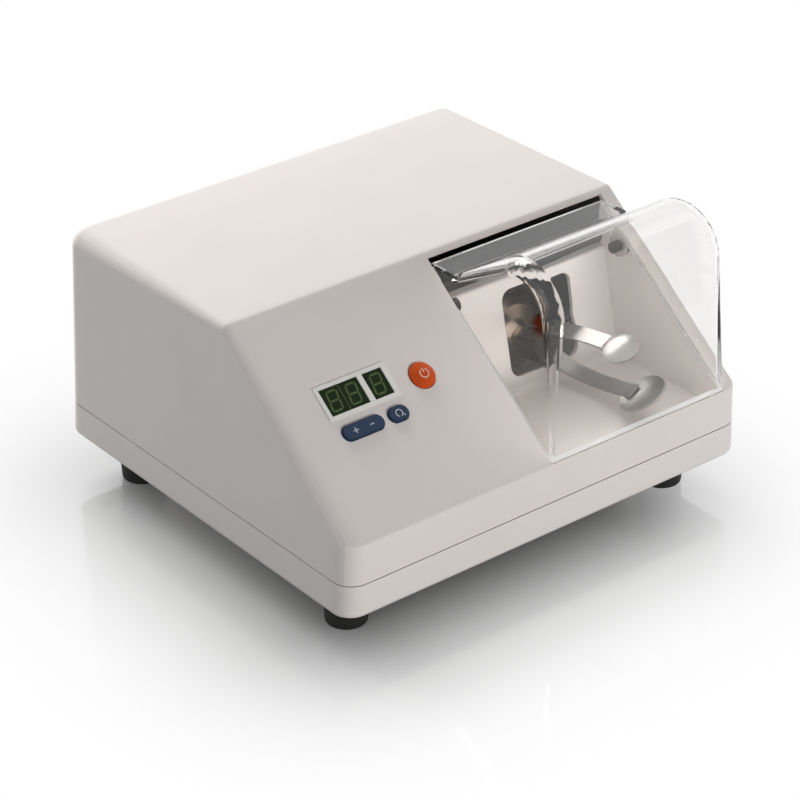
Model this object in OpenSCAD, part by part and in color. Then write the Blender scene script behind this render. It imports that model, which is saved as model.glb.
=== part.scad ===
// Dental amalgamator: a bench-top machine that shakes a mixing capsule.
// Width runs along X, the front faces -Y and Z is up. The origin is on the
// bench, midway under the case. All sizes are in millimetres.

/* [Case] */
// Width of the case at its bottom edge
case_w = 250; // [240:1:270]
// Depth of the case at its bottom edge
case_d = 230; // [222:1:250]
// Height of the case top above the bench
case_top = 135.8; // [133:0.2:140]
// Height of the rubber feet
foot_h = 22; // [19:0.5:24]
// Height of the seam between the two case halves
seam_z = 40.4; // [39:0.2:42]
// Height at which the front skirt ends and the slope starts
sill_z = 61.6; // [60:0.2:64]
// Angle of the sloped control panel
slope_angle = 37.6; // [36:0.1:39]
// Wall thickness of both case halves
wall = 2.5; // [2:0.1:3]
// Draft of the case sides
case_draft = 2.35; // [1:0.05:3]
// Draft of the case back
back_draft = 0.8; // [0:0.1:1.5]
// Radius of the upright case corners
corner_r = 11; // [8:0.5:14]
// Radius of the edge along the top of the front skirt
sill_r = 3.2; // [3:0.1:4]
// Radius of the edge at the top of the slope
crest_r = 4; // [3.2:0.2:6]
// Radius of the rear top edge
back_r = 10; // [6:0.5:11]
// Radius of the bottom edge
base_edge_r = 3.6; // [3:0.2:5]
// Open seam line between the case halves
seam_gap = 0.5; // [0.3:0.1:1]

/* [Feet and case screws] */
// Distance of the feet from the middle, side to side
foot_x = 101; // [92:1:104]
// Distance of the feet from the middle, front to back
foot_y = 84; // [76:1:88]
// Largest radius of a foot
foot_r = 11.4; // [9:0.2:12]
// Distance of the case screws from the case sides
case_screw_inset = 13; // [12:0.5:15]
// Shank radius of the case screws
case_screw_r = 1.75; // [1.5:0.05:2]

/* [Mixing chamber] */
// Distance from the case side to the right edge of the chamber opening
rim_w = 14; // [12:0.5:18]
// Width of the chamber opening
opening_w = 112.5; // [106:0.5:116]
// Length of the chamber opening up the slope
opening_len = 118.5; // [116:0.5:119]
// Wall thickness of the chamber tub
tub_wall = 2.2; // [1.8:0.1:2.6]
// Height of the chamber floor
floor_z = 50; // [49:0.5:51]
// Depth from the case front to the foot of the chamber's back wall
chamber_depth = 77.3; // [75:0.1:80]
// Height of the top edge of the chamber's back wall
tub_top = 108; // [107:0.5:109]
// Width of the window in the back wall
window_w = 42.5; // [38:0.5:46]
// Height of the window in the back wall, along the wall
window_h = 46; // [42:0.5:47]
// Offset of the window to the right of the shaft
window_shift = 3.2; // [0:0.2:4]
// Height of the window's lower edge above the floor
window_sill = 7.7; // [7:0.1:9]
// Corner radius of the window
window_r = 6; // [4:0.5:8]

/* [Cover] */
// Thickness of the clear cover
cover_t = 2.2; // [1.8:0.1:2.6]
// Gap between the cover and each side of the opening
cover_gap = 0.5; // [0.4:0.1:0.8]
// Height of the cover's highest edge
cover_top = 156.7; // [154:0.1:160]
// Radius of the rolled upper front edge
roll_r = 25; // [20:0.5:27]
// Radius of the dome's side edges where it rolls over
side_r = 8; // [5:0.5:9]
// Distance from the case front to the middle of the roll
roll_back = 28.2; // [27:0.1:31]
// Distance from the crest of the slope to the bend behind the dome
bend_fore = 23.4; // [22:0.2:25]
// Distance from the crest of the slope to the cover's rear edge
tail_fore = 5.4; // [5:0.1:6]
// Distance of the hinge axis in front of the crest
hinge_fore = 18.4; // [17.5:0.1:19]
// Height of the hinge axis under the case top
hinge_drop = 22.8; // [22:0.1:23.5]
// Radius of the hinge pins
hinge_pin_r = 1.5; // [1.2:0.1:2]
// Radius of the hinge ears
ear_r = 6.5; // [5:0.5:7]

/* [Control panel] */
// Centre of the display from the middle of the panel, side to side
display_x = -12.25; // [-16.75:0.25:-8.75]
// Centre of the display, up the slope
display_s = 68.5; // [66:0.5:70]
// Width of the display bezel
bezel_w = 41.8; // [40:0.2:44]
// Height of the display bezel
bezel_h = 18.2; // [17:0.2:19]
// Width of one display digit
digit_w = 11.1; // [10.8:0.1:11.4]
// Height of one display digit
digit_h = 14; // [13:0.1:14.6]
// Centre of the start button from the middle of the panel, side to side
start_x = 23.95; // [21.25:0.05:29.25]
// Centre of the start button, up the slope
start_s = 64.3; // [62:0.5:68]
// Radius of the start button
start_r = 6.7; // [6:0.1:8]
// Centre of the time rocker from the middle of the panel, side to side
time_x = -19.45; // [-20.75:0.05:-17.75]
// Length of the time rocker
time_len = 23.5; // [22:0.5:25]
// Centre of the speed key from the middle of the panel, side to side
speed_x = 1.25; // [0.25:0.05:3.25]
// Length of the speed key
speed_len = 11.2; // [10.5:0.1:12]
// Centre of both blue keys, up the slope
key_s = 51.2; // [50:0.1:52]
// Width of both blue keys
key_w = 7.6; // [7:0.1:8.2]
// Height of the blue keys above the panel
key_proud = 1.3; // [1:0.1:2]
// Travel of the start button and the speed key
key_travel = 1; // [0.6:0.1:1]
// Gap around each key in the panel
key_gap = 0.4; // [0.3:0.05:0.5]

/* [Shaker] */
// Tilt of the motor shaft and lean of the chamber's back wall
shaft_tilt = 12.5; // [11:0.5:13]
// Place of the shaft, from the left edge of the chamber opening
shaft_in = 63; // [60:0.5:68]
// Height of the shaft above the floor where it crosses the back wall
shaft_rise = 22.4; // [22:0.1:24]
// Distance of the wobble centre behind the back wall
hub_back = 30; // [29:0.5:31]
// Wobble angle between the shaft and the fork
wobble = 6; // [4:0.5:6.5]
// Direction in which the fork leans at rest
wobble_dir = -45; // [-180:1:180]
// Radius of the motor shaft
shaft_r = 3; // [2.5:0.1:3.5]
// Radius of the motor can
motor_r = 21; // [19:0.5:22]
// Length of the motor can
motor_len = 48; // [44:1:50]
// Roll of the fork about its own axis at rest
fork_roll = 25; // [0:1:30]
// Distance from the wobble centre to the middle of the cups
fork_reach = 90; // [84:1:91]
// Half of the gap between the two cups
cup_offset = 15; // [13:0.5:16]
// Angle by which the cups lean towards each other at the front
cup_tilt = 8; // [0:1:10]
// Radius of the lower cup
cup_r = 12; // [10:0.5:13]
// Radius of the upper cup
upper_cup_r = 9; // [8:0.5:12]
// Width of the spring steel arms
arm_w = 8.4; // [7:0.2:9.6]
// Thickness of the spring steel arms
arm_t = 1.2; // [1:0.1:1.5]

/* [Hidden] */

tiny = 0.02;
front_y = -case_d / 2;
base_z = foot_h;
slope_sin = sin(slope_angle);
slope_cos = cos(slope_angle);
crest_y = front_y + (case_top - sill_z) / tan(slope_angle);
opening_x1 = case_w / 2 - rim_w;
opening_x0 = opening_x1 - opening_w;
tub_x0 = opening_x0 - tub_wall;
tub_x1 = opening_x1 + tub_wall;
// Middle of the panel between the case side and the chamber opening
panel_x = (opening_x0 - case_w / 2) / 2;
sill_cut = sill_z - 0.3;

// Half of the case width at a height, with the side draft
function half_w(z) = case_w / 2 - (z - base_z) * tan(case_draft);
// Back face of the case at a height
function back_y(z) = case_d / 2 - (z - base_z) * tan(back_draft);
// Height of the slope at a depth
function slope_z(y) = sill_z + (y - front_y) * tan(slope_angle);
// A point in the YZ plane, given up the slope and out of it
function on_slope_yz(s, n) = [front_y + s * slope_cos - n * slope_sin,
  sill_z + s * slope_sin + n * slope_cos];
// Points along an arc
function arc(c, r, a0, a1, steps) = [for (i = [0:steps])
  c + r * [cos(a0 + (a1 - a0) * i / steps), sin(a0 + (a1 - a0) * i / steps)]];

// Frame on the sloped panel: X across, Y up the slope, Z out of the panel
module on_slope() {
  translate([0, front_y, sill_z]) rotate([slope_angle, 0, 0]) children();
}

// The same frame in the middle of the panel beside the opening
module on_panel() {
  on_slope() translate([panel_x, 0, 0]) children();
}

// Extrude a YZ outline across X
module across(x0, x1) {
  translate([x0, 0, 0]) rotate([90, 0, 90]) linear_extrude(x1 - x0) children();
}

module stadium(len, w) {
  for (side = [-1, 1]) translate([side * (len - w) / 2, 0]) circle(d = w, $fn = 32);
  square([len - w, w], center = true);
}

module rounded_rect(w, h, r) {
  for (sx = [-1, 1], sy = [-1, 1])
    translate([sx * (w / 2 - r), sy * (h / 2 - r)]) circle(r, $fn = 32);
  square([w - 2 * r, h], center = true);
  square([w, h - 2 * r], center = true);
}

module ring(outer_r, edge_r) {
  rotate_extrude($fn = 32) translate([outer_r - edge_r, 0]) circle(edge_r, $fn = 16);
}

// Solid form of the upper case, drawn smaller by inset on every side
module upper_form(inset, bottom_z) {
  sill_c = sill_z - sill_r * (1 - slope_sin) / slope_cos;
  crest_c = case_top - crest_r;
  crest_cy = front_y + ((crest_c - sill_z) * slope_cos + crest_r) / slope_sin;
  back_c = case_top - back_r;
  hull() for (side = [-1, 1]) {
    translate([side * (half_w(bottom_z) - corner_r), front_y + corner_r, bottom_z])
      cylinder(r = corner_r - inset, h = tiny, $fn = 32);
    translate([side * (half_w(bottom_z) - corner_r), back_y(bottom_z) - corner_r, bottom_z])
      cylinder(r = corner_r - inset, h = tiny, $fn = 32);
    translate([side * (half_w(sill_c) - corner_r), front_y + corner_r, sill_c])
      ring(corner_r - inset, max(0.3, sill_r - inset));
    translate([side * (half_w(crest_c) - crest_r), crest_cy, crest_c])
      sphere(max(0.3, crest_r - inset), $fn = 24);
    translate([side * (half_w(back_c) - back_r), back_y(back_c) - back_r, back_c])
      sphere(back_r - inset, $fn = 32);
  }
}

// Solid form of the base tray
module base_form(inset, bottom_z, top_z) {
  edge = max(0.6, base_edge_r - inset);
  hull() for (sx = [-1, 1], front = [0, 1]) {
    y_low = front == 1 ? front_y + corner_r : back_y(bottom_z) - corner_r;
    y_top = front == 1 ? front_y + corner_r : back_y(top_z) - corner_r;
    translate([sx * (half_w(bottom_z) - corner_r), y_low, bottom_z + edge])
      ring(corner_r - inset, edge);
    translate([sx * (half_w(top_z) - corner_r), y_top, top_z - tiny])
      cylinder(r = corner_r - inset, h = tiny, $fn = 32);
  }
}

screw_x = case_w / 2 - case_screw_inset;
screw_y = case_d / 2 - case_screw_inset;
boss_r = 4.8;
boss_top = floor_z - tub_wall - 1.4;
boss_split = seam_z - 5;
module at_case_screws() {
  for (sx = [-1, 1], sy = [-1, 1]) translate([sx * screw_x, sy * screw_y, 0]) children();
}
module at_feet() {
  for (sx = [-1, 1], sy = [-1, 1]) translate([sx * foot_x, sy * foot_y, 0]) children();
}

// Connector field, recessed into the back of the case
field_side = 63;
field_x = -case_w / 2 + field_side;
field_z = 77;
field_w = 92;
field_h = 34;
field_depth = 3.4;
field_y = back_y(field_z + field_h / 2) - field_depth;
inlet_off = 20;
switch_off = 14;
fuse_off = 34;
inlet_x = field_x + inlet_off;
switch_x = field_x - switch_off;
fuse_x = field_x - fuse_off;
// Frame on the field: X to the left seen from behind, Y up, Z out of the back
module on_field(x) {
  translate([x, field_y, field_z]) rotate([90, 0, 180]) children();
}

// Rear air slots behind the motor
slot_left = 21.5;
slot_pitch = 8;
slot_count = 8;
slot_w = 3;
slot_h = 24;
slot_z = 81;

window_gap = 0.15;
board_n = -11.2;
board_t = 1.6;
board_h = 52;
board_s = 62;
board_hole = 4;
// The control board ends short of the case side and of the chamber tub
board_side_gap = 21;
board_tub_gap = 16.3;
board_x0 = -case_w / 2 + board_side_gap;
board_x1 = tub_x0 - board_tub_gap;
board_w = board_x1 - board_x0;
board_x = (board_x0 + board_x1) / 2;
module at_board_screws() {
  for (sx = [-1, 1], sy = [-1, 1])
    translate([board_x + sx * (board_w / 2 - board_hole), board_s + sy * (board_h / 2 - board_hole), 0])
      children();
}
rocker_pin_r = 1.2;
rocker_pin_n = -5;
rocker_pin_fit = 0.05;
lug_t = 2;
lug_s = key_w / 2 + 0.9;

// Place of the chamber and of the shaft that crosses its back wall
wall_foot_y = front_y + chamber_depth;
tub_under = 0.2;
shaft_x = opening_x0 + shaft_in;
shaft_y = wall_foot_y + shaft_rise * sin(shaft_tilt);
shaft_z = floor_z + shaft_rise * cos(shaft_tilt);
slot_x = shaft_x - slot_left;
// Depth of the front of the back wall at a height
function wall_y(z) = wall_foot_y + (z - floor_z) * tan(shaft_tilt);
// Frame where the shaft crosses the back wall: Y up the wall, Z forward
module on_wall() {
  translate([shaft_x, shaft_y, shaft_z]) rotate([90 - shaft_tilt, 0, 0]) children();
}
// Frame at the wobble centre on the motor shaft, Z forward along the shaft
module on_shaft() {
  on_wall() translate([0, 0, -hub_back]) children();
}
// Frame at the wobble centre on the fork, which leans by the wobble angle
module on_fork() {
  on_shaft() rotate(a = wobble, v = [-sin(wobble_dir), cos(wobble_dir), 0]) children();
}

module base_tray() color("gainsboro") {
  post_r = 4.2;
  floor_top = base_z + wall;
  difference() {
    union() {
      difference() {
        base_form(0, base_z, seam_z - seam_gap / 2);
        base_form(wall, floor_top, seam_z + 1);
      }
      // Tongue that locates the upper case
      difference() {
        intersection() {
          base_form(wall + 0.25, base_z + 1, seam_z + 2);
          translate([-case_w, -case_d, floor_top]) cube([2 * case_w, 2 * case_d, 40]);
        }
        base_form(wall + 1.65, base_z + 1, seam_z + 3);
      }
      at_case_screws() translate([0, 0, base_z + 1])
        cylinder(r = post_r, h = boss_split - 0.2 - base_z - 1, $fn = 40);
      at_feet() translate([0, 0, base_z + 1]) cylinder(r = 5, h = 8, $fn = 40);
      for (sx = [-1, 1], sy = [-1, 1])
        translate([shaft_x + sx * mount_x, mount_mid_y + sy * mount_y, base_z + 1])
        cylinder(r = 6, h = mount_low - base_z - 1, $fn = 40);
      at_power_posts() translate([0, 0, base_z + 1])
        cylinder(r = 3.5, h = power_z - base_z - 1, $fn = 32);
      for (sx = [-1, 1]) translate([shaft_x + sx * transit_x, mount_mid_y, base_z + 1])
        cylinder(r = 6.4, h = 5, $fn = 40);
      // Two posts under the chamber floor
      for (p = tub_posts) translate([p[0], p[1], base_z + 1])
        cylinder(r = 4, h = floor_z - tub_wall - 0.1 - base_z - 1, $fn = 32);
    }
    at_case_screws() {
      translate([0, 0, base_z - 1]) cylinder(r = case_screw_r + 0.15, h = 40, $fn = 40);
      translate([0, 0, base_z - 1]) cylinder(r = 3.6, h = 5, $fn = 40);
    }
    at_feet() translate([0, 0, base_z - 1]) cylinder(r = 1.55, h = 9.2, $fn = 32);
    for (sx = [-1, 1], sy = [-1, 1])
      translate([shaft_x + sx * mount_x, mount_mid_y + sy * mount_y, mount_low - 8])
      cylinder(r = 2.05, h = 10, $fn = 32);
    for (sx = [-1, 1]) translate([shaft_x + sx * transit_x, mount_mid_y, base_z - 1]) {
      cylinder(r = transit_r + 0.4, h = 10, $fn = 32);
      cylinder(r = 4.6, h = 1 + transit_sink, $fn = 40);
    }
    at_power_posts() translate([0, 0, power_z - 6]) cylinder(r = 1.52, h = 10, $fn = 24);
    // Air slots in the floor under the circuit board
    for (i = [0:5]) translate([power_x - 22 + i * 9, power_y - 60, base_z - 1]) linear_extrude(wall + 2)
      rotate(90) stadium(34, 3);
  }
}

module upper_casing() color("whitesmoke") {
  low = seam_z + seam_gap / 2;
  rib_z = seam_z + 2.3;
  difference() {
    union() {
      difference() {
        upper_form(0, low);
        upper_form(wall, low - 1);
      }
      intersection() {
        upper_form(wall / 2, low);
        union() {
          // Ribs that join the screw bosses to the walls
          for (sx = [-1, 1], sy = [-1, 1]) {
            translate([sx * screw_x - (sx < 0 ? 20 : 0), sy * screw_y - 1, rib_z])
              cube([20, 2, boss_top - rib_z]);
            translate([sx * screw_x - 1, sy * screw_y - (sy < 0 ? 20 : 0), rib_z])
              cube([2, 20, boss_top - rib_z]);
          }
          // Pocket that backs the recessed connector field
          translate([field_x - field_w / 2 - wall, field_y - wall, field_z - field_h / 2 - wall])
            cube([field_w + 2 * wall, field_depth + wall + 4, field_h + 2 * wall]);
        }
      }
      at_case_screws() translate([0, 0, boss_split])
        cylinder(r = boss_r, h = boss_top - boss_split, $fn = 40);
      // Posts that carry the control board
      on_slope() at_board_screws() translate([0, 0, board_n])
        cylinder(r = 3.2, h = -board_n - 1, $fn = 32);
      // Bearing lugs of the time rocker
      on_panel() for (side = [-1, 1]) translate([time_x, key_s + side * (lug_s + lug_t / 2), 0])
        rotate([90, 0, 0]) translate([0, 0, -lug_t / 2]) linear_extrude(lug_t) {
          translate([0, rocker_pin_n]) circle(2.6, $fn = 32);
          translate([-2.6, rocker_pin_n]) square([5.2, -rocker_pin_n - 1]);
        }
      // Bosses for the screws that hold the chamber tub
      on_slope() for (s = tub_screw_s) translate([tub_screw_x, s, -wall - tub_boss_h])
        cylinder(r = 3.4, h = tub_boss_h + 1, $fn = 32);
    }
    across(opening_x0, opening_x1) polygon([[front_y - 10, sill_cut], [front_y + wall, sill_cut],
      [front_y + wall, sill_z - 3], [front_y + 20, sill_z - 3], on_slope_yz(opening_len, -12),
      on_slope_yz(opening_len, 12), [front_y - 10, sill_z + 40]]);
    on_panel() {
      translate([display_x, display_s, -wall - 1]) linear_extrude(wall + 3)
        square([bezel_w - 2, bezel_h - 2], center = true);
      translate([start_x, start_s, -wall - 1]) cylinder(r = start_r + key_gap, h = wall + 4, $fn = 48);
      translate([time_x, key_s, -wall - 1]) linear_extrude(wall + 4)
        stadium(time_len + 2 * key_gap, key_w + 2 * key_gap);
      translate([speed_x, key_s, -wall - 1]) linear_extrude(wall + 4)
        stadium(speed_len + 2 * key_gap, key_w + 2 * key_gap);
      translate([time_x, key_s - 20, rocker_pin_n]) rotate([-90, 0, 0])
        cylinder(r = rocker_pin_r + rocker_pin_fit, h = 40, $fn = 32);
    }
    on_slope() at_board_screws() translate([0, 0, board_n - 1]) cylinder(r = 1.05, h = 8, $fn = 24);
    on_slope() for (s = tub_screw_s) translate([tub_screw_x, s, -wall - tub_boss_h - 1])
      cylinder(r = 1.5, h = tub_boss_h + 0.5, $fn = 24);
    at_case_screws() translate([0, 0, boss_split - 1])
      cylinder(r = case_screw_r + 0.05, h = boss_top - boss_split - 1, $fn = 32);
    // Recessed connector field with its three cut-outs
    on_field(field_x) translate([0, 0, 0]) linear_extrude(20) rounded_rect(field_w, field_h, 4);
    on_field(inlet_x) translate([0, 0, -wall - 1]) linear_extrude(wall + 2)
      square([inlet_w + 0.6, inlet_h + 0.6], center = true);
    on_field(switch_x) translate([0, 0, -wall - 1]) linear_extrude(wall + 2)
      square([switch_w + 0.4, switch_h + 0.4], center = true);
    on_field(fuse_x) translate([0, 0, -wall - 1]) cylinder(r = fuse_r + 0.1, h = wall + 2, $fn = 40);
    on_field(inlet_x) for (side = [-1, 1]) translate([side * inlet_screw_x, 0, -wall - 1])
      cylinder(r = 1.6, h = wall + 2, $fn = 24);
    for (i = [0:slot_count - 1]) translate([slot_x + i * slot_pitch, case_d / 2 - 8, slot_z])
      rotate([-90, 0, 0]) linear_extrude(20) rotate(90) stadium(slot_h, slot_w);
  }
}

module rubber_feet() color("dimgray") at_feet() difference() {
  rotate_extrude($fn = 64) polygon(concat([[0, 0]], arc([foot_r - 2.6, 1.6], 1.6, -90, 0, 4),
    [[foot_r, foot_h - 4.5], [foot_r - 1.6, foot_h - 4.2]],
    arc([foot_r - 2.6, foot_h - 1.2], 1.2, 0, 90, 4), [[0, foot_h]]));
  translate([0, 0, -1]) cylinder(r = 4, h = foot_h - 5, $fn = 32);
  translate([0, 0, -1]) cylinder(r = 1.7, h = foot_h + 2, $fn = 32);
}

module screw(head_r, head_h, shank_r, len) {
  translate([0, 0, -tiny]) cylinder(r = shank_r, h = len + tiny, $fn = 24);
  translate([0, 0, -head_h]) difference() {
    cylinder(r = head_r, h = head_h, $fn = 32);
    for (a = [0, 90]) rotate(a) translate([-head_r * 0.6, -0.4, -1])
      cube([head_r * 1.2, 0.8, 1 + head_h * 0.5]);
  }
}

module foot_screws() color("silver")
  at_feet() translate([0, 0, foot_h - 6]) screw(3.4, 2.2, 1.5, 13.5);

module case_screws() color("silver")
  at_case_screws() translate([0, 0, base_z + 4]) screw(3.2, 2.4, case_screw_r, boss_top - base_z - 7.5);

// Flange screws along the left side of the tub
tub_flange = 9;
tub_screw_x = opening_x0 - tub_wall - 4.6;
tub_screw_s = [28, 78];
tub_boss_h = 6;
tub_posts = [[opening_x0 + 20, front_y + 22], [opening_x1 - 14, front_y + 56]];
// Height at which the front lip ends beside the opening
lip_end_z = sill_cut - 1.5;

// Open space of the chamber in the YZ plane
module chamber_void() {
  lip_y = front_y + wall + tub_under + tub_wall;
  low_r = 4;
  cove_r = 5;
  top_r = 2;
  cove_y = wall_foot_y - cove_r * (1 - sin(shaft_tilt)) / cos(shaft_tilt);
  top_y = wall_y(tub_top) + top_r * (1 + sin(shaft_tilt)) / cos(shaft_tilt);
  polygon(concat([[lip_y, case_top + 30], [lip_y, floor_z + low_r]],
    arc([lip_y + low_r, floor_z + low_r], low_r, 180, 270, 6),
    arc([cove_y, floor_z + cove_r], cove_r, 270, 360 - shaft_tilt, 6),
    arc([top_y, tub_top - top_r], top_r, 180 - shaft_tilt, 90, 4),
    [[crest_y - 1.4, tub_top], [crest_y - 1.4, case_top + 30]]));
}

module mixing_chamber() color("gainsboro") {
  difference() {
    union() {
      // Floor, back wall and front lip as one bent sheet
      difference() {
        across(tub_x0, tub_x1) difference() {
          offset(delta = tub_wall) chamber_void();
          chamber_void();
          translate([-case_d, sill_cut]) square([case_d + wall_foot_y - 20, 200]);
          translate([-case_d, tub_top]) square([2 * case_d, 200]);
        }
        for (x = [tub_x0 - 1, opening_x1 - 0.2]) translate([x, front_y, lip_end_z])
          cube([tub_wall + 1.2, wall + tub_wall + 3, 10]);
      }
      // Side walls
      for (x = [tub_x0, opening_x1]) across(x, x + tub_wall) tub_side_outline();
      // Hinge bosses outside both walls
      for (x = [tub_x0 - 2, tub_x1 - tiny]) translate([x, hinge_y, hinge_z]) rotate([0, 90, 0])
        cylinder(r = 3.2, h = 2 + tiny, $fn = 32);
      // Tabs that are screwed to the bosses under the slope
      on_slope() for (s = tub_screw_s)
        translate([tub_x0 - tub_flange, s - tub_flange, -wall - tub_boss_h - tub_wall])
        cube([tub_flange + tub_wall, 2 * tub_flange, tub_wall]);
    }
    on_wall() translate([window_shift, window_mid, -tub_wall - 3]) linear_extrude(tub_wall + 8)
      rounded_rect(window_w, window_h, window_r);
    translate([tub_x0 - 5, hinge_y, hinge_z]) rotate([0, 90, 0])
      cylinder(r = hinge_pin_r + 0.05, h = opening_w + 20, $fn = 32);
    on_slope() for (s = tub_screw_s) translate([tub_screw_x, s, -wall - tub_boss_h - tub_wall - 1])
      cylinder(r = 1.6, h = tub_wall + 2, $fn = 24);
  }
}
window_mid = window_sill + window_h / 2 - shaft_rise;

module tub_side_outline() {
  roof = -wall - tub_under;
  polygon([[front_y + wall + tub_under, floor_z - tub_wall],
    [wall_foot_y + tub_wall, floor_z - tub_wall],
    [wall_y(tub_top - 4) + tub_wall, tub_top - 4],
    [crest_y - 1.4, tub_top - tub_wall],
    on_slope_yz(opening_len - 2, roof),
    on_slope_yz(3, roof),
    [front_y + wall + tub_under, lip_end_z]]);
}

module chamber_screws() color("silver")
  on_slope() for (s = tub_screw_s) translate([tub_screw_x, s, -wall - tub_boss_h - tub_wall])
    screw(2.9, 2, 1.5, tub_wall + tub_boss_h - 1);

// Cover and its hinge
hinge_y = crest_y - hinge_fore;
hinge_z = case_top - hinge_drop;
cover_x0 = opening_x0 + cover_gap;
cover_x1 = opening_x1 - cover_gap;
bend_y = crest_y - bend_fore;
tail_y = crest_y - tail_fore;
cover_foot_y = front_y + 0.6;
cover_foot_z = sill_z + 0.1;
roll_y = front_y + roll_back;
roll_z = cover_top - roll_r;
tail_z = slope_z(tail_y);
cover_sink = 1.5;
bend_r = 4;

// Solid form of the dome, drawn smaller by inset and stretched down and back by reach
module dome_form(inset, reach) {
  hull() for (side = [-1, 1]) {
    edge_x = side < 0 ? cover_x0 + inset + tiny : cover_x1 - inset - tiny;
    foot = [cover_foot_y + inset, cover_foot_z - reach];
    heel = on_slope_yz((bend_y - front_y) / slope_cos, -cover_sink - reach);
    translate([edge_x, foot[0] + tiny, foot[1] + tiny]) cube(2 * tiny, center = true);
    translate([edge_x, heel[0] + reach, heel[1]]) cube(2 * tiny, center = true);
    roll_x = side < 0 ? cover_x0 + side_r : cover_x1 - side_r;
    translate([roll_x, roll_y, roll_z]) rotate([0, 90, 0]) rotate_extrude($fn = 72)
      translate([roll_r - side_r, 0]) circle(side_r - inset, $fn = 28);
    bend_x = side < 0 ? cover_x0 + bend_r : cover_x1 - bend_r;
    fall = (tail_z + bend_r - cover_top) / (bend_y - roll_y);
    translate([bend_x, bend_y + reach, tail_z - bend_r + reach * fall])
      sphere(bend_r - inset, $fn = 24);
  }
}

module ear_outline() {
  translate([hinge_y, hinge_z]) circle(ear_r, $fn = 40);
  polygon([[hinge_y - ear_r, hinge_z], [hinge_y - ear_r, slope_z(hinge_y - ear_r)],
    [hinge_y + ear_r, slope_z(hinge_y + ear_r)], [hinge_y + ear_r, hinge_z]]);
  polygon([on_slope_yz((bend_y - 2 - front_y) / slope_cos, -cover_sink), [bend_y - 2, tail_z],
    [tail_y, tail_z], on_slope_yz((tail_y - front_y) / slope_cos - 1.5, -cover_sink)]);
}

module cover_shell() color("lightcyan", 0.4) {
  difference() {
    union() {
      difference() {
        dome_form(0, 0);
        dome_form(cover_t, 8);
      }
      // Flat flange behind the dome
      translate([cover_x0, bend_y - 1.5, tail_z - cover_t])
        cube([cover_x1 - cover_x0, tail_y - bend_y + 1.5, cover_t]);
      for (x = [cover_x0, cover_x1 - cover_t]) across(x, x + cover_t) ear_outline();
    }
    translate([cover_x0 - 1, hinge_y, hinge_z]) rotate([0, 90, 0])
      cylinder(r = hinge_pin_r + 0.05, h = opening_w + 2, $fn = 32);
  }
}

module hinge_pins() color("dimgray") {
  head = 4;
  head_r = 3.4;
  head_gap = 0.3;
  for (side = [-1, 1]) {
    inner = side < 0 ? cover_x0 + cover_t + head_gap : cover_x1 - cover_t - head_gap - head;
    outer = side < 0 ? tub_x0 - 3 : cover_x1 - cover_t - head_gap - 1;
    translate([inner, hinge_y, hinge_z]) rotate([0, 90, 0]) cylinder(r = head_r, h = head, $fn = 32);
    translate([outer, hinge_y, hinge_z]) rotate([0, 90, 0])
      cylinder(r = hinge_pin_r, h = cover_t + head_gap + cover_gap + tub_wall + 4, $fn = 32);
  }
}

// Digit windows: two digits together and one alone
pair_x = -7.6;
single_x = 12.25;
window_lip = 0.1;
module display_bezel() color("ghostwhite") on_panel() translate([display_x, display_s, 0])
  difference() {
  union() {
    translate([0, 0, 0.05]) linear_extrude(0.55) rounded_rect(bezel_w, bezel_h, 0.8);
    translate([0, 0, -wall - 1]) linear_extrude(wall + 1.1)
      square([bezel_w - 2 - 2 * window_gap, bezel_h - 2 - 2 * window_gap], center = true);
  }
  translate([pair_x, 0, -10]) linear_extrude(20)
    square([2 * digit_w + 2 * window_lip, digit_h + 2 * window_lip], center = true);
  translate([single_x, 0, -10]) linear_extrude(20)
    square([digit_w + 2 * window_lip, digit_h + 2 * window_lip], center = true);
}

module led_modules() color("darkslategray") on_panel() translate([display_x, display_s, board_n])
  for (x = [pair_x - digit_w / 2, pair_x + digit_w / 2, single_x])
    translate([x, 0, 0]) linear_extrude(0.15 - board_n) square([digit_w - 0.1, digit_h], center = true);

module control_board() color("darkgreen") on_slope() difference() {
  translate([board_x - board_w / 2, board_s - board_h / 2, board_n - board_t])
    cube([board_w, board_h, board_t]);
  at_board_screws() translate([0, 0, board_n - board_t - 1])
    cylinder(r = 1.2, h = board_t + 2, $fn = 24);
}

module board_screws() color("silver") on_slope() at_board_screws()
  translate([0, 0, board_n - board_t]) screw(2.2, 1.6, 1, board_t + 5);

tact_h = 3.8;
plunger_h = 0.8;
rock_x = 8.6;
rock_angle = 3;
tact_x = [time_x - rock_x, time_x + rock_x, speed_x, start_x];
tact_s = [key_s, key_s, key_s, start_s];
plunger_n = board_n + tact_h + plunger_h;
module tact_switches() color("dimgray") on_panel() for (i = [0:3])
  translate([tact_x[i], tact_s[i], board_n]) {
  linear_extrude(tact_h) rounded_rect(6, 6, 0.5);
  cylinder(r = 1.7, h = tact_h + plunger_h, $fn = 24);
}

flange_gap = 0.2;
flange_t = 1.2;
stem_gap = 0.2;
stem_n = plunger_n + key_travel + stem_gap;
module start_button() color("orangered") on_panel() translate([start_x, start_s, 0]) {
  side_h = 0.9;
  dome_h = 2.1;
  dome_r = (start_r * start_r + dome_h * dome_h) / (2 * dome_h);
  dome_a = asin(start_r / dome_r);
  rotate_extrude($fn = 64) polygon(concat([[0, stem_n], [2, stem_n], [2, -wall - flange_gap - flange_t],
    [start_r + 1.5, -wall - flange_gap - flange_t], [start_r + 1.5, -wall - flange_gap],
    [start_r, -wall - flange_gap]], arc([0, side_h + dome_h - dome_r], dome_r, 90 - dome_a, 90, 8)));
}

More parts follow.
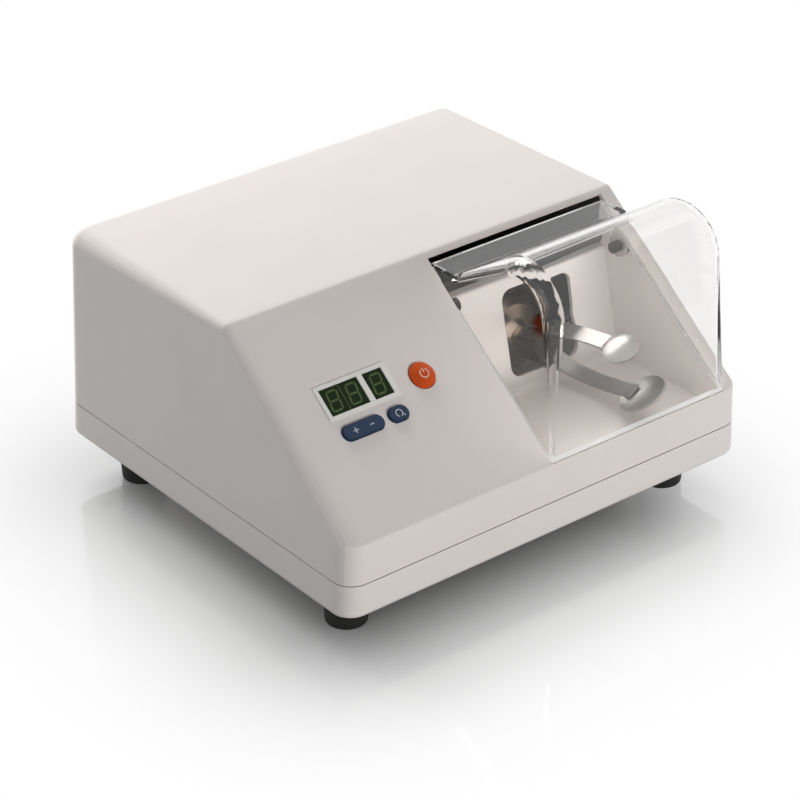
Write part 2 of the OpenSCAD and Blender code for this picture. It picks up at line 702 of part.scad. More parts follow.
module speed_button() color("slategray") on_panel() translate([speed_x, key_s, 0]) {
  translate([0, 0, -wall - flange_gap - flange_t]) linear_extrude(flange_t)
    stadium(speed_len + 2.6, key_w + 2.6);
  translate([0, 0, -wall - flange_gap - tiny]) linear_extrude(wall + flange_gap + key_proud - 0.4)
    stadium(speed_len, key_w);
  translate([0, 0, key_proud - 0.5]) linear_extrude(0.5) stadium(speed_len - 0.7, key_w - 0.7);
  translate([0, 0, stem_n]) cylinder(r = 2, h = -wall - flange_gap - stem_n, $fn = 24);
}

module time_rocker() color("slategray") on_panel() translate([time_x, key_s, 0]) {
  rock_drop = rock_x * sin(rock_angle) + stem_gap + 0.15;
  translate([0, 0, -wall - 2]) linear_extrude(wall + 2 + key_proud - 0.4) stadium(time_len, key_w);
  translate([0, 0, key_proud - 0.5]) linear_extrude(0.5) stadium(time_len - 0.7, key_w - 0.7);
  for (side = [-1, 1]) translate([side * rock_x, 0, plunger_n + rock_drop])
    cylinder(r = 1.6, h = 2.4, $fn = 24);
  translate([0, -(lug_s + lug_t), rocker_pin_n]) rotate([-90, 0, 0])
    cylinder(r = rocker_pin_r, h = 2 * (lug_s + lug_t), $fn = 32);
  translate([-1.6, -key_w / 2, rocker_pin_n]) cube([3.2, key_w, 2]);
}

// Cover switch, fixed to the tub wall under the cover's edge
module interlock_switch() color("black") on_slope()
  translate([tub_x0 - 6.5, (tub_screw_s[0] + tub_screw_s[1]) / 2 - 10, -wall - 12.5]) {
  difference() {
    cube([6.5 - tiny, 20, 10]);
    for (y = [4, 16]) translate([-1, y, 7]) rotate([0, 90, 0]) cylinder(r = 1.2, h = 9, $fn = 24);
  }
  for (y = [3, 9.2, 15.5]) translate([2.6, y, -5]) cube([0.6, 1.5, 5 + tiny]);
}

// Motor cradle on four rubber mounts
mount_x = 40;
mount_y = 22;
mount_low = 33;
mount_h = 14;
cradle_z = mount_low + mount_h;
cradle_t = 2.5;
cradle_w = 96;
cradle_d = 62;
plate_u = -24;
plate_w = 54;
plate_h = 50;
// Depth at which the leaning motor plate crosses the cradle's sheet
plate_mid_z = shaft_z - (hub_back - plate_u) * sin(shaft_tilt);
plate_foot_y = shaft_y + (hub_back - plate_u) * cos(shaft_tilt) - (plate_mid_z - cradle_z) * tan(shaft_tilt);
// Middle of the four mounts behind that line
mount_behind = 23.054;
mount_mid_y = plate_foot_y + mount_behind;
cradle_y0 = mount_mid_y - cradle_d / 2;
motor_screw_a = [30, 150, 210, 330];
motor_bolt_r = 15;
transit_x = 34;
transit_r = 2;
transit_sink = 3;
guide_x = 32;
guide_t = 7;
guide_w = 12;
guide_front = 10;
guide_pin_r = 1.6;
guide_gap = 0.35;
module motor_cradle() color("lightsteelblue") difference() {
  union() {
    difference() {
      translate([shaft_x - cradle_w / 2, cradle_y0, cradle_z]) cube([cradle_w, cradle_d, cradle_t]);
      translate([shaft_x - motor_r - 1.5, cradle_y0 + 7.5, cradle_z - 1])
        cube([2 * motor_r + 3, cradle_d, cradle_t + 2]);
    }
    on_shaft() translate([0, 0, plate_u]) linear_extrude(cradle_t) {
      translate([0, 1]) rounded_rect(plate_w, plate_h, 4);
      rounded_rect(2 * guide_x + 12, 14, 4);
    }
  }
  on_shaft() translate([0, 0, plate_u - 1]) cylinder(r = 7.3, h = 10, $fn = 40);
  on_shaft() for (a = motor_screw_a) rotate(a) translate([motor_bolt_r, 0, plate_u - 1])
    cylinder(r = 1.7, h = 10, $fn = 24);
  on_shaft() for (side = [-1, 1]) translate([side * guide_x, 0, plate_u - 1])
    cylinder(r = 1.7, h = 10, $fn = 24);
  for (sx = [-1, 1], sy = [-1, 1])
    translate([shaft_x + sx * mount_x, mount_mid_y + sy * mount_y, cradle_z - 1])
    cylinder(r = 2.2, h = 10, $fn = 24);
  for (sx = [-1, 1]) translate([shaft_x + sx * transit_x, mount_mid_y, cradle_z - 1])
    cylinder(r = transit_r + 0.05, h = 10, $fn = 24);
}

module rubber_mounts() color("dimgray")
  for (sx = [-1, 1], sy = [-1, 1])
    translate([shaft_x + sx * mount_x, mount_mid_y + sy * mount_y, mount_low]) difference() {
    rotate_extrude($fn = 40) polygon(concat([[2.3, 0], [7, 0], [7, 2]], arc([9, mount_h / 2], 4, 225,
      135, 5), [[7, mount_h - 2], [7, mount_h], [2.3, mount_h]]));
  }

module mount_bolts() color("silver")
  for (sx = [-1, 1], sy = [-1, 1]) translate([shaft_x + sx * mount_x, mount_mid_y + sy * mount_y, 0]) {
    translate([0, 0, mount_low - 7]) cylinder(r = 2, h = mount_h + cradle_t + 10, $fn = 24);
    translate([0, 0, cradle_z + cradle_t]) cylinder(r = 5, h = 0.8, $fn = 32);
    translate([0, 0, cradle_z + cradle_t + 0.8]) cylinder(r = 3.6, h = 2.8, $fn = 6);
  }

module transit_screws() color("silver")
  for (sx = [-1, 1]) translate([shaft_x + sx * transit_x, mount_mid_y, base_z + transit_sink])
    screw(4, 2.2, transit_r, cradle_z + cradle_t - base_z + 1);

module motor_can() color("gray") on_shaft() difference() {
  union() {
    translate([0, 0, plate_u - motor_len]) cylinder(r = motor_r, h = motor_len, $fn = 64);
    translate([0, 0, plate_u - tiny]) cylinder(r = 7, h = 2.9, $fn = 40);
    translate([0, 0, plate_u - motor_len - 3]) cylinder(r = 9, h = 3.1, $fn = 40);
    for (side = [-1, 1]) translate([side * 13 - 1.5, -0.4, plate_u - motor_len - 6]) cube([3, 0.8, 7]);
  }
  translate([0, 0, plate_u - motor_len - 4]) cylinder(r = shaft_r + 0.05, h = motor_len + 10, $fn = 40);
  for (a = motor_screw_a) rotate(a) translate([motor_bolt_r, 0, plate_u - 6])
    cylinder(r = 1.5, h = 8, $fn = 24);
}

motor_head_r = 2.8;
motor_head_h = 1.8;
motor_shank_r = 1.45;
motor_bite = 4.5;
guide_bite = 6.5;
module motor_screws() color("silver") on_shaft() {
  for (a = motor_screw_a) rotate(a) translate([motor_bolt_r, 0, plate_u + cradle_t]) mirror([0, 0, 1])
    screw(motor_head_r, motor_head_h, motor_shank_r, cradle_t + motor_bite);
  for (side = [-1, 1]) translate([side * guide_x, 0, plate_u])
    screw(motor_head_r, motor_head_h, motor_shank_r, cradle_t + guide_bite);
}

// Slotted guides that keep the shaking head from turning with the shaft
module guide_blocks() color("dimgray") on_shaft() for (side = [-1, 1]) difference() {
  guide_low = plate_u + cradle_t;
  slot_len = 2 * (guide_x * sin(wobble) + guide_pin_r + 0.6);
  translate([side * guide_x, 0, guide_low]) linear_extrude(guide_front - guide_low)
    square([guide_t, guide_w], center = true);
  translate([side * guide_x, 0, 0]) rotate([0, 90, 0]) translate([0, 0, -guide_t])
    linear_extrude(2 * guide_t)
    stadium(slot_len, 2 * (guide_pin_r + guide_gap));
  translate([side * guide_x, 0, guide_low - 1]) cylinder(r = 1.5, h = 9, $fn = 24);
}

module guide_pins() color("silver") on_fork() for (side = [-1, 1])
  translate([side * (outer_r + 1), 0, 0]) rotate([0, side * 90, 0])
    cylinder(r = guide_pin_r, h = guide_x + guide_t / 2 + 0.6 - outer_r - 1, $fn = 32);

module rotor_shaft() color("silver") on_shaft() translate([0, 0, plate_u - motor_len - 5])
  cylinder(r = shaft_r, h = motor_len + 5 - plate_u - 8.2, $fn = 40);

journal_r = 6;
inner_r = 8.5;
ball_r = 1.9;
ball_gap = 0.1;
ball_track = inner_r + ball_gap + ball_r;
outer_in_r = ball_track + ball_r + ball_gap;
outer_r = outer_in_r + 3.2;
bearing_half = 3.5;
module wobble_hub() color("silver") difference() {
  union() {
    on_shaft() translate([0, 0, -19.5]) cylinder(r = 8, h = 9.5, $fn = 48);
    on_fork() translate([0, 0, -11]) cylinder(r = 7.4, h = 11 - bearing_half - 0.02, $fn = 48);
    on_fork() translate([0, 0, -6]) cylinder(r = journal_r, h = 6 + bearing_half, $fn = 48);
    on_fork() cylinder(r = 2.5, h = bearing_half + 3.6, $fn = 32);
  }
  on_shaft() translate([0, 0, -21]) cylinder(r = shaft_r + 0.02, h = 13, $fn = 40);
  on_shaft() translate([0, 0, -15]) rotate([0, 90, 0]) cylinder(r = 1.5, h = 12, $fn = 24);
}

module hub_nut() color("silver") on_fork() translate([0, 0, bearing_half + 0.02]) difference() {
  union() {
    cylinder(r = 7.2, h = 0.8, $fn = 40);
    translate([0, 0, 0.8]) cylinder(r = 4.4, h = 2.2, $fn = 6);
  }
  translate([0, 0, -1]) cylinder(r = 2.52, h = 6, $fn = 32);
}

module tube(inner, outer, h) {
  difference() {
    cylinder(r = outer, h = h, $fn = 64);
    translate([0, 0, -1]) cylinder(r = inner, h = h + 2, $fn = 64);
  }
}

module bearing_inner() color("silver") on_fork() translate([0, 0, -bearing_half])
  tube(journal_r + 0.02, inner_r, 2 * bearing_half);

module bearing_balls() color("silver") on_fork() for (i = [0:8]) rotate(i * 40)
  translate([ball_track, 0, 0]) sphere(ball_r, $fn = 24);

module bearing_outer() color("silver") on_fork() translate([0, 0, -bearing_half])
  tube(outer_in_r, outer_r, 2 * bearing_half);

housing_r = outer_r + 4;
housing_front = 12;
stem_r = 6;
stem_end = 33;
module shaker_housing() color("lightgray") difference() {
  on_fork() union() {
    rotate_extrude($fn = 64) polygon([[0, -bearing_half - 2.4], [housing_r, -bearing_half - 2.4],
      [housing_r, 8],
      [housing_r - 3, housing_front], [stem_r + 3, housing_front], [stem_r, housing_front + 3],
        [stem_r, stem_end], [0, stem_end]]);
    for (side = [-1, 1]) rotate([0, side * 90, 0]) translate([0, 0, outer_r + 1.5])
      cylinder(r = 4, h = 7, $fn = 32);
  }
  on_fork() {
    translate([0, 0, -10]) cylinder(r = outer_r + 0.02, h = 10 + bearing_half + 0.02, $fn = 64);
    cylinder(r = outer_in_r + 0.4, h = 8, $fn = 64);
    for (side = [-1, 1]) rotate([0, side * 90, 0]) translate([0, 0, outer_r + 1])
      cylinder(r = guide_pin_r + 0.01, h = 20, $fn = 32);
    for (a = [90:120:330]) rotate(a) translate([outer_r + 2, 0, -bearing_half - 3])
      cylinder(r = 1, h = 6, $fn = 20);
  }
}

module housing_cap() color("silver") on_fork() translate([0, 0, -bearing_half - 2.4 - 1.4])
  difference() {
  tube(outer_in_r + 0.4, housing_r, 1.4);
  for (a = [90:120:330]) rotate(a) translate([outer_r + 2, 0, -1]) cylinder(r = 1, h = 6, $fn = 20);
}

clamp_v = 21;
clamp_len = 13;
clamp_w = 15;
clamp_h = 13.4;
module fork_clamp() color("dimgray") on_fork() rotate(fork_roll) difference() {
  translate([0, 0, clamp_v]) linear_extrude(clamp_len) rounded_rect(clamp_w, clamp_h, 2);
  translate([0, 0, clamp_v - 1]) cylinder(r = stem_r + 0.02, h = stem_end - clamp_v + 1.02, $fn = 48);
}

// Smooth line through a few points, as a list of points
function spline_at(p, i, t) =
  let (a = p[max(0, i - 1)], b = p[i], c = p[i + 1], d = p[min(len(p) - 1, i + 2)])
  0.5 * (2 * b + (c - a) * t + (2 * a - 5 * b + 4 * c - d) * t * t
    + (3 * b - a - 3 * c + d) * t * t * t);
function spline(p, steps) = concat([for (i = [0:len(p) - 2], k = [0:steps - 1])
  spline_at(p, i, k / steps)], [p[len(p) - 1]]);
function normal_at(q, i) =
  let (a = q[max(0, i - 1)], b = q[min(len(q) - 1, i + 1)], d = (b - a) / norm(b - a))
  [-d[1], d[0]];
function strip(q, t) = concat([for (i = [0:len(q) - 1]) q[i] + normal_at(q, i) * t / 2],
  [for (i = [len(q) - 1:-1:0]) q[i] - normal_at(q, i) * t / 2]);

clamp_face = clamp_h / 2 + arm_t / 2;
// Side view of an arm: distance along the fork and distance from its axis
bow_rise = 2.4;
bow_fall = 3.6;
bow_run = 9;
bow_start = 32;
bow_end = 19;
root_far = 9;
root_near = 6;
arm_bow = cup_offset + bow_rise;
arm_points = spline([[clamp_v, clamp_face], [clamp_v + clamp_len - 1, clamp_face],
  [clamp_v + clamp_len + bow_run, arm_bow - bow_fall], [fork_reach - bow_start, arm_bow - 0.4],
  [fork_reach - bow_end, arm_bow], [fork_reach - root_far, cup_offset + 0.6 + root_far * tan(cup_tilt)],
  [fork_reach - root_near, cup_offset + 0.2 + root_near * tan(cup_tilt)]], 5);
arm_line = [for (p = arm_points) [p[0], p[0] > clamp_v + clamp_len ? p[1] : max(clamp_face, p[1])]];

// Shallow dish whose open side faces -Z
module dish(r) {
  depth = 0.22 * r;
  ball = (r * r + depth * depth) / (2 * depth);
  span = asin(r / ball);
  rotate_extrude($fn = 56) polygon(concat(arc([0, depth - ball], ball, 90, 90 - span, 8),
    arc([0, depth - ball], ball + arm_t, 90 - span, 90, 8)));
}

module arm(dish_r) {
  rotate([0, 0, 90]) rotate([90, 0, 0]) translate([0, 0, -arm_w / 2]) linear_extrude(arm_w)
    polygon([for (p = strip(arm_line, arm_t)) [p[1], p[0]]]);
  translate([0, cup_offset, fork_reach]) rotate([-90 + cup_tilt, 0, 0]) dish(dish_r);
}

module upper_arm() color("silver") on_fork() rotate(fork_roll) arm(upper_cup_r);

module lower_arm() color("silver") on_fork() rotate(fork_roll) mirror([0, 1, 0]) arm(cup_r);

module clamp_screws() color("dimgray") on_fork() rotate(fork_roll)
  for (side = [0, 1], v = [clamp_v + 3.4, clamp_v + 9.6])
    mirror([0, side, 0]) translate([0, clamp_face + arm_t / 2, v]) rotate([-90, 0, 0])
      cylinder(r = 2.4, h = 1.6, $fn = 32);

// Mains side: board, transformer and rear connectors
power_x = field_x;
power_back = 61;
power_y = case_d / 2 - power_back;
power_w = 84;
power_d = 80;
power_z = 32;
power_t = 1.6;
power_hole = 4;
module at_power_posts() {
  for (sx = [-1, 1], sy = [-1, 1])
    translate([power_x + sx * (power_w / 2 - power_hole), power_y + sy * (power_d / 2 - power_hole), 0])
      children();
}
// Place on top of the mains board, from its middle
module on_power_board(x, y) {
  translate([power_x + x, power_y + y, power_z + power_t]) children();
}
module power_board() color("darkgreen") difference() {
  translate([power_x - power_w / 2, power_y - power_d / 2, power_z]) cube([power_w, power_d, power_t]);
  at_power_posts() translate([0, 0, power_z - 1]) cylinder(r = 1.7, h = power_t + 2.4, $fn = 24);
}

module power_screws() color("silver") at_power_posts() translate([0, 0, power_z + power_t])
  mirror([0, 0, 1]) screw(2.9, 1.8, 1.5, power_t + 5.4);

core_x = -14;
core_y = -16;
core_w = 48;
core_d = 22;
core_h = 40;
core_leg = 8;
coil_out = 7;
coil_side_gap = 0.3;
coil_leg_gap = 0.2;
module transformer_core() color("darkgray") on_power_board(core_x, core_y) difference() {
  translate([-core_w / 2, -core_d / 2, 0]) cube([core_w, core_d, core_h]);
  for (side = [-1, 1]) translate([side * core_w / 4 - core_leg / 2, -core_d, core_leg])
    cube([core_leg, 2 * core_d, core_h - 2 * core_leg]);
}

// Winding round the middle leg, inside both windows of the core
module transformer_coil() color("peru") on_power_board(core_x, core_y) {
  coil_half = core_w / 4 + core_leg / 2 - coil_side_gap;
  leg_half = core_w / 4 - core_leg / 2 + coil_leg_gap;
  translate([0, 0, core_leg + coil_side_gap]) difference() {
    translate([-coil_half, -core_d / 2 - coil_out, 0])
      cube([2 * coil_half, core_d + 2 * coil_out, core_h - 2 * core_leg - 2 * coil_side_gap]);
    translate([-leg_half, -core_d / 2 - coil_leg_gap, -1])
      cube([2 * leg_half, core_d + 2 * coil_leg_gap, core_h]);
  }
}

capacitor_x = 28;
capacitor_y = -22;
capacitor_r = 8;
capacitor_h = 26;
module capacitor() color("midnightblue") on_power_board(capacitor_x, capacitor_y)
  cylinder(r = capacitor_r, h = capacitor_h, $fn = 40);

relay_x = 22;
relay_y = -4;
relay_w = 15;
relay_d = 19;
relay_h = 15;
module relay() color("black") on_power_board(relay_x, relay_y) cube([relay_w, relay_d, relay_h]);

inlet_w = 27;
inlet_h = 20;
inlet_screw_x = 20;
module power_inlet() color("black") on_field(inlet_x) difference() {
  union() {
    linear_extrude(2) {
      square([34, 24], center = true);
      for (side = [-1, 1]) translate([side * inlet_screw_x, 0]) circle(4.4, $fn = 32);
      square([2 * inlet_screw_x, 8.8], center = true);
    }
    translate([0, 0, -18]) linear_extrude(18 + tiny) rounded_rect(inlet_w, inlet_h, 2);
  }
  translate([0, 0, -14.5]) linear_extrude(30)
    polygon([[-11.8, -8], [11.8, -8], [11.8, 3.5], [7.3, 8], [-7.3, 8], [-11.8, 3.5]]);
  for (side = [-1, 1]) translate([side * inlet_screw_x, 0, -1]) cylinder(r = 1.7, h = 5, $fn = 24);
  for (p = [[-7, -2], [0, 2], [7, -2]]) translate([p[0] - 1.05, p[1] - 2.05, -20]) cube([2.1, 4.1, 10]);
}

module inlet_pins() color("gold") on_field(inlet_x) for (p = [[-7, -2], [0, 2], [7, -2]])
  translate([p[0] - 1, p[1] - 2, -24]) cube([2, 4, 21]);

module inlet_screws() color("silver") on_field(inlet_x) for (side = [-1, 1])
  translate([side * inlet_screw_x, 0, 2])
  mirror([0, 0, 1]) screw(2.9, 1.3, 1.5, 10);

switch_w = 13;
switch_h = 19.2;
rocker_tilt = 8;
rocker_r = 7.6;
rocker_n = -4.5;
module switch_body() color("black") on_field(switch_x) difference() {
  union() {
    linear_extrude(1.8) rounded_rect(switch_w + 2.6, switch_h + 2.8, 1);
    translate([0, 0, -16]) linear_extrude(16 + tiny) square([switch_w, switch_h], center = true);
    for (y = [-6, 0, 6]) translate([-2.4, y - 0.4, -23]) cube([4.8, 0.8, 7.1]);
  }
  translate([0, 0, -11]) linear_extrude(20) square([switch_w - 2.6, switch_h - 2.2], center = true);
  translate([-switch_w, 0, rocker_n]) rotate([0, 90, 0]) cylinder(r = 1.25, h = 2 * switch_w, $fn = 24);
}

// Rear switch rocker, drawn with its lower half pressed in
module switch_rocker() color("firebrick") on_field(switch_x) translate([0, 0, rocker_n])
  rotate([rocker_tilt, 0, 0]) {
  translate([-(switch_w - 3.4) / 2, 0, 0]) rotate([0, 90, 0]) rotate(180) linear_extrude(switch_w - 3.4)
    polygon([[-2.4, -3], [5, -rocker_r], [6, -rocker_r + 0.4], [5.2, 0], [6, rocker_r - 0.4],
      [5, rocker_r], [-2.4, 3]]);
  translate([-(switch_w / 2 - 0.3), 0, 0]) rotate([0, 90, 0])
    cylinder(r = 1.2, h = switch_w - 0.6, $fn = 24);
}

fuse_r = 5.9;
module fuse_holder() color("black") on_field(fuse_x) difference() {
  union() {
    cylinder(r = 7.4, h = 2, $fn = 48);
    translate([0, 0, -24]) cylinder(r = fuse_r, h = 24 + tiny, $fn = 48);
    translate([-1.5, -0.4, -30]) cube([3, 0.8, 7]);
  }
  translate([0, 0, -20]) cylinder(r = 4.3, h = 30, $fn = 40);
}

module fuse_cap() color("black") on_field(fuse_x) difference() {
  union() {
    translate([0, 0, -16]) cylinder(r = 4.2, h = 18.1, $fn = 40);
    translate([0, 0, 2.02]) cylinder(r = 6, h = 1.2, $fn = 40);
  }
  translate([-5, -0.5, 2.5]) cube([10, 1, 2]);
}

base_tray();
upper_casing();
rubber_feet();
foot_screws();
case_screws();
mixing_chamber();
chamber_screws();
cover_shell();
hinge_pins();
display_bezel();
led_modules();
control_board();
board_screws();
tact_switches();
start_button();
speed_button();
time_rocker();
interlock_switch();
motor_cradle();
rubber_mounts();
mount_bolts();
transit_screws();
motor_can();
motor_screws();
rotor_shaft();
wobble_hub();
hub_nut();
bearing_inner();
bearing_balls();
bearing_outer();
shaker_housing();
housing_cap();
fork_clamp();
clamp_screws();
upper_arm();
lower_arm();
guide_pins();
guide_blocks();
power_board();
power_screws();
transformer_core();
transformer_coil();
capacitor();
relay();
power_inlet();
inlet_pins();
inlet_screws();
switch_body();
switch_rocker();
fuse_holder();
fuse_cap();
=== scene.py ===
import math

import bmesh
import bpy
from mathutils import Matrix, Vector


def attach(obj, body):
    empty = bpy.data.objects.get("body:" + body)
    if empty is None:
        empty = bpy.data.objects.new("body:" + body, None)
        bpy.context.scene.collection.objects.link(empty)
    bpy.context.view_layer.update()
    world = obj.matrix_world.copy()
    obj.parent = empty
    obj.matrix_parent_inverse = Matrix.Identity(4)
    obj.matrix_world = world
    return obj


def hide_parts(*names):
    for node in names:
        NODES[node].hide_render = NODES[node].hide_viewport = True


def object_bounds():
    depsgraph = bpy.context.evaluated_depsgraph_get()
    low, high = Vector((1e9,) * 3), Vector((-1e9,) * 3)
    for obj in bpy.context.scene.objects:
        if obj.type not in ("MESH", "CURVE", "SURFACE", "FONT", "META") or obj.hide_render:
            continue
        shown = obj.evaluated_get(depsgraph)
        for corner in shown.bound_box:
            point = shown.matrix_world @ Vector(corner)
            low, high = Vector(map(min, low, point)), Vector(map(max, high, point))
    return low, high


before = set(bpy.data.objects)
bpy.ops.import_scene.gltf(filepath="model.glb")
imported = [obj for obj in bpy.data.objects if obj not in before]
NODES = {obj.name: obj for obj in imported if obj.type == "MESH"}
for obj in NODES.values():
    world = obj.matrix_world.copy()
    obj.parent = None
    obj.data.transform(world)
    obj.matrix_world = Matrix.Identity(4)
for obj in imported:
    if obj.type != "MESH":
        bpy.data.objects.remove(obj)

CAD_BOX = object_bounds()
MM = 0.001

# Case sizes in millimetres, as in the part's source
FRONT_Y = -115.0
SILL_Z = 61.6
CASE_TOP, BASE_Z = 135.8, 22.0
SLOPE, SIDE_DRAFT, BACK_DRAFT = math.radians(37.6), math.radians(2.35), math.radians(0.8)
# A point in the middle of the case, in metres
CASE_CENTRE = Vector((0, 0, 0.075))
# The sloped control panel: X across, Y up the slope, Z out of the panel
PANEL = Matrix.Translation((0, FRONT_Y * MM, SILL_Z * MM)) @ Matrix.Rotation(SLOPE, 4, "X")


# Materials
def material(name):
    mat = bpy.data.materials.new(name)
    mat.use_nodes = True
    tree = mat.node_tree
    shader = tree.nodes["Principled BSDF"]
    return mat, tree, shader


def link(tree, a, b):
    tree.links.new(a, b)


def noise(tree, scale, detail=4.0, roughness=0.5):
    coords = tree.nodes.new("ShaderNodeTexCoord")
    tex = tree.nodes.new("ShaderNodeTexNoise")
    tex.inputs["Scale"].default_value = scale
    tex.inputs["Detail"].default_value = detail
    tex.inputs["Roughness"].default_value = roughness
    link(tree, coords.outputs["Object"], tex.inputs["Vector"])
    return tex


def spread(tree, source, low, high):
    """Noise, which lies mostly between 0.3 and 0.7, stretched from low to high."""
    span = tree.nodes.new("ShaderNodeMapRange")
    span.inputs["From Min"].default_value = 0.3
    span.inputs["From Max"].default_value = 0.7
    span.inputs["To Min"].default_value = low
    span.inputs["To Max"].default_value = high
    link(tree, source, span.inputs["Value"])
    return span.outputs["Result"]


def tinted(tree, shader, source, low, high):
    ramp = tree.nodes.new("ShaderNodeValToRGB")
    ramp.color_ramp.elements[0].position = 0.3
    ramp.color_ramp.elements[0].color = (*low, 1)
    ramp.color_ramp.elements[1].position = 0.7
    ramp.color_ramp.elements[1].color = (*high, 1)
    link(tree, source, ramp.inputs["Fac"])
    link(tree, ramp.outputs["Color"], shader.inputs["Base Color"])


def bumped(tree, shader, source, strength, distance):
    bump = tree.nodes.new("ShaderNodeBump")
    bump.inputs["Strength"].default_value = strength
    bump.inputs["Distance"].default_value = distance
    link(tree, source, bump.inputs["Height"])
    link(tree, bump.outputs["Normal"], shader.inputs["Normal"])


def plastic(name, color, rough=0.4, grain=1400.0, depth=0.00002, vary=0.03, sheen=0.5):
    """Moulded plastic: faint cloudy colour, fine spark texture, uneven gloss."""
    mat, tree, shader = material(name)
    cloud = noise(tree, 18.0, 3.0)
    low = [c * (1 - vary) for c in color]
    high = [min(1.0, c * (1 + vary)) for c in color]
    tinted(tree, shader, cloud.outputs["Fac"], low, high)
    fine = noise(tree, grain, 2.0)
    bumped(tree, shader, fine.outputs["Fac"], 0.35, depth)
    gloss = noise(tree, 60.0, 4.0)
    link(tree, spread(tree, gloss.outputs["Fac"], rough * 0.88, rough * 1.12), shader.inputs["Roughness"])
    shader.inputs["IOR"].default_value = 1.5
    shader.inputs["Specular IOR Level"].default_value = sheen
    return mat


def metal(name, color, rough=0.28, stretch=(1, 1, 1), scale=900.0, depth=0.00001):
    """Worked metal: fine lines drawn one way, patches of duller surface."""
    mat, tree, shader = material(name)
    coords = tree.nodes.new("ShaderNodeTexCoord")
    squeeze = tree.nodes.new("ShaderNodeMapping")
    squeeze.inputs["Scale"].default_value = stretch
    lines = tree.nodes.new("ShaderNodeTexNoise")
    lines.inputs["Scale"].default_value = scale
    lines.inputs["Detail"].default_value = 3.0
    link(tree, coords.outputs["Object"], squeeze.inputs["Vector"])
    link(tree, squeeze.outputs["Vector"], lines.inputs["Vector"])
    tinted(tree, shader, lines.outputs["Fac"], [c * 0.93 for c in color], [min(1, c * 1.05) for c in color])
    bumped(tree, shader, lines.outputs["Fac"], 0.3, depth)
    patches = noise(tree, 80.0, 3.0)
    link(tree, spread(tree, patches.outputs["Fac"], rough * 0.8, rough * 1.3), shader.inputs["Roughness"])
    shader.inputs["Metallic"].default_value = 1.0
    return mat


def clear_plastic(name):
    """Clear moulded cover; its shadow lets most of the light through."""
    mat, tree, shader = material(name)
    haze = noise(tree, 40.0, 3.0)
    link(tree, spread(tree, haze.outputs["Fac"], 0.01, 0.035), shader.inputs["Roughness"])
    flow = noise(tree, 26.0, 1.0)
    bumped(tree, shader, flow.outputs["Fac"], 0.05, 0.0006)
    shader.inputs["Base Color"].default_value = (0.97, 0.965, 0.955, 1)
    shader.inputs["IOR"].default_value = 1.49
    shader.inputs["Transmission Weight"].default_value = 1.0
    path = tree.nodes.new("ShaderNodeLightPath")
    passing = tree.nodes.new("ShaderNodeBsdfTransparent")
    passing.inputs["Color"].default_value = (0.93, 0.925, 0.92, 1)
    choose = tree.nodes.new("ShaderNodeMixShader")
    link(tree, path.outputs["Is Shadow Ray"], choose.inputs["Fac"])
    link(tree, shader.outputs["BSDF"], choose.inputs[1])
    link(tree, passing.outputs["BSDF"], choose.inputs[2])
    link(tree, choose.outputs["Shader"], tree.nodes["Material Output"].inputs["Surface"])
    return mat


CASE = plastic("case_white", (0.785, 0.735, 0.705), rough=0.42, grain=1500.0, vary=0.015)
TUB = plastic("chamber_white", (0.70, 0.65, 0.625), rough=0.45, grain=1200.0, vary=0.012)
# Near-black painted shade on the casing's inward faces, standing in for the shade in its hollow inside
CASE_INSIDE_SHADE = plastic("case_inside_painted_shade", (0.10, 0.092, 0.087), rough=0.5, sheen=0.25)
RUBBER = plastic("foot_rubber", (0.016, 0.016, 0.015), rough=0.6, grain=900.0, vary=0.2, sheen=0.25)
BLACK = plastic("black_plastic", (0.014, 0.012, 0.011), rough=0.38, vary=0.15, sheen=0.3)
DARK_PIN = plastic("dark_pin", (0.028, 0.020, 0.018), rough=0.35, vary=0.15, sheen=0.3)
BEZEL = plastic("bezel_white", (0.84, 0.82, 0.79), rough=0.3)
LENS = plastic("led_lens", (0.009, 0.022, 0.006), rough=0.3, vary=0.35, sheen=0.1)
SEGMENT = plastic("led_segment", (0.080, 0.13, 0.045), rough=0.35, vary=0.15, sheen=0.15)
BOARD = plastic("board_green", (0.03, 0.14, 0.07), rough=0.35, vary=0.2)
ORANGE = plastic("button_orange", (0.59, 0.08, 0.014), rough=0.34, vary=0.06, sheen=0.12)
BLUE = plastic("key_blue", (0.018, 0.038, 0.085), rough=0.36, vary=0.08, sheen=0.3)
PRINT = plastic("print_white", (0.62, 0.60, 0.62), rough=0.45)
PRINT_ORANGE = plastic("print_pale", (0.80, 0.50, 0.42), rough=0.45)
COIL = plastic("coil_tape", (0.50, 0.33, 0.06), rough=0.3, vary=0.1)
CAN_BLUE = plastic("can_blue", (0.02, 0.03, 0.10), rough=0.25, vary=0.1)
RED = plastic("rocker_red", (0.45, 0.03, 0.02), rough=0.25, vary=0.06)
ZINC = metal("zinc_screw", (0.55, 0.55, 0.56), rough=0.3)
PLATE = metal("steel_plate", (0.24, 0.23, 0.22), rough=0.35, stretch=(1, 12, 12))
SPRING = metal("spring_steel", (0.32, 0.305, 0.29), rough=0.34, stretch=(9, 1, 9), scale=500.0,
               depth=0.000004)
BRIGHT = metal("bearing_steel", (0.62, 0.61, 0.60), rough=0.16)
CAST = metal("cast_head", (0.58, 0.47, 0.37), rough=0.22, scale=400.0, depth=0.00002)
CORE = metal("core_steel", (0.22, 0.22, 0.23), rough=0.4, stretch=(1, 30, 1))
BRASS = metal("contact_brass", (0.75, 0.52, 0.22), rough=0.25)
CLEAR = clear_plastic("clear_cover")
COVER_EDGE = plastic("cover_edge", (0.46, 0.46, 0.455), rough=0.45, vary=0.06)

